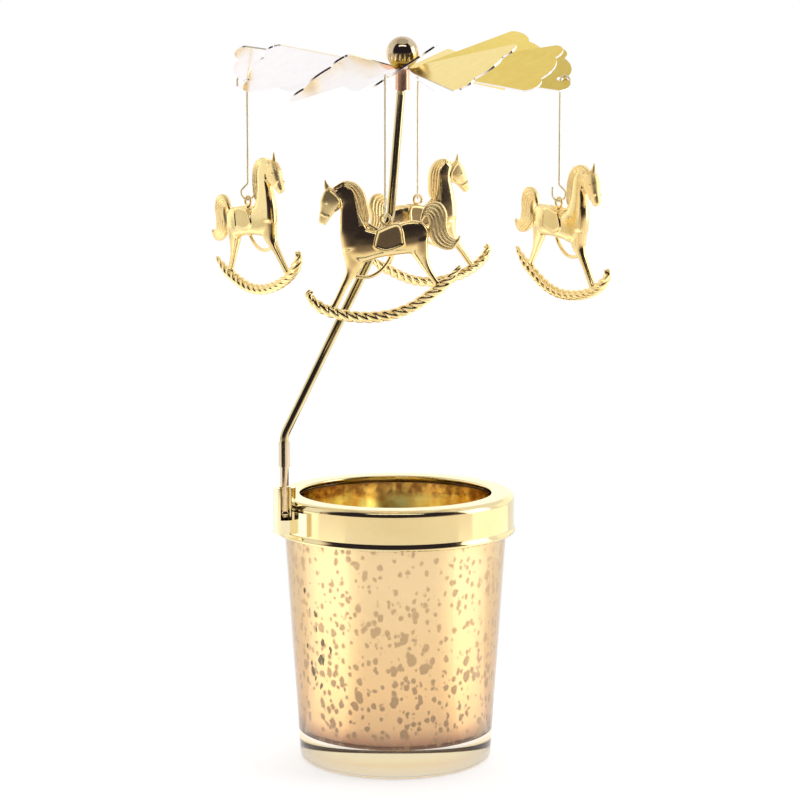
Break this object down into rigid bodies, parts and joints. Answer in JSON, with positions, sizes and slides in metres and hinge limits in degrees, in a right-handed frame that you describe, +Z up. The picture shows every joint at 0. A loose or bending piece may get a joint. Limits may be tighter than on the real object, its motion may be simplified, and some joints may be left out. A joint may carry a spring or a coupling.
{
  "type": "spinning candle carousel",
  "caption": "Tea-light holder: coated glass cup with a metal collar and bent stem, whose needle carries a heat-driven fan with hanging rocking horses.",
  "frame": {"origin": "middle of the cup's foot, on the surface that it stands on", "axes": "+Z up along the cup's axis, -Y towards the front, +X to the right as seen from the front"},
  "size_m": [0.0909, 0.083, 0.1671],
  "materials": {
    "mirror_glass": "clear glass, mirror coated inside",
    "polished_gold": "polished gold plate",
    "copper_bush": "plain copper colour",
    "fan_sheet": "gold plated sheet",
    "wire_gold": "pale gold wire",
    "horse_gold": "bright gold plate"
  },
  "bodies": {
    "cup": {"glass_cup": "mirror_glass"},
    "collar": {"collar_ring": "polished_gold", "stem_bracket": "polished_gold", "socket_pin": "polished_gold"},
    "stem": {"stem_ferrule": "polished_gold", "stem_rod": "polished_gold"},
    "rotor": {"fan_wheel": "fan_sheet", "bearing_cup": "copper_bush", "finial_ball": "polished_gold"},
    "hanger_front": {"hanger_front": "wire_gold"},
    "horse_front": {"horse_front": "horse_gold"},
    "hanger_right": {"hanger_right": "wire_gold"},
    "horse_right": {"horse_right": "horse_gold"},
    "hanger_back": {"hanger_back": "wire_gold"},
    "horse_back": {"horse_back": "horse_gold"},
    "hanger_left": {"hanger_left": "wire_gold"},
    "horse_left": {"horse_left": "horse_gold"}
  },
  "joints": [
    {"name": "collar_lift", "type": "slide", "parent": "cup", "child": "collar", "axis": [0, 0, 1], "range_m": [0, 0.02]},
    {"name": "stem_swivel", "type": "hinge", "parent": "collar", "child": "stem", "pos_m": [-0.02477, -0.01488, 0.0731], "axis": [0, 0, 1], "continuous": true},
    {"name": "fan_spin", "type": "hinge", "parent": "stem", "child": "rotor", "pos_m": [0.0016, 0, 0.1581], "axis": [0, 0, 1], "continuous": true},
    {"name": "hanger_front_swing", "type": "hinge", "parent": "rotor", "child": "hanger_front", "pos_m": [-0.00209, -0.0363, 0.15545], "axis": [-1, 0, 0], "range_deg": [-12, 12]},
    {"name": "horse_front_rock", "type": "hinge", "parent": "hanger_front", "child": "horse_front", "pos_m": [-0.00209, -0.0352, 0.1266], "axis": [0, -1, 0], "range_deg": [-15, 15]},
    {"name": "hanger_right_swing", "type": "hinge", "parent": "rotor", "child": "hanger_right", "pos_m": [0.0379, -0.00369, 0.15545], "axis": [0, -1, 0], "range_deg": [-12, 12]},
    {"name": "horse_right_rock", "type": "hinge", "parent": "hanger_right", "child": "horse_right", "pos_m": [0.0368, -0.00369, 0.1287], "axis": [0.8192, 0.5736, 0], "range_deg": [-15, 15]},
    {"name": "hanger_back_swing", "type": "hinge", "parent": "rotor", "child": "hanger_back", "pos_m": [0.00529, 0.0363, 0.15545], "axis": [1, 0, 0], "range_deg": [-12, 12]},
    {"name": "horse_back_rock", "type": "hinge", "parent": "hanger_back", "child": "horse_back", "pos_m": [0.00529, 0.0352, 0.1276], "axis": [-0.4384, 0.8988, 0], "range_deg": [-15, 15]},
    {"name": "hanger_left_swing", "type": "hinge", "parent": "rotor", "child": "hanger_left", "pos_m": [-0.0347, 0.00369, 0.15545], "axis": [0, 1, 0], "range_deg": [-12, 12]},
    {"name": "horse_left_rock", "type": "hinge", "parent": "hanger_left", "child": "horse_left", "pos_m": [-0.0336, 0.00369, 0.1287], "axis": [0.788, 0.6157, 0], "range_deg": [-15, 15]}
  ]
}
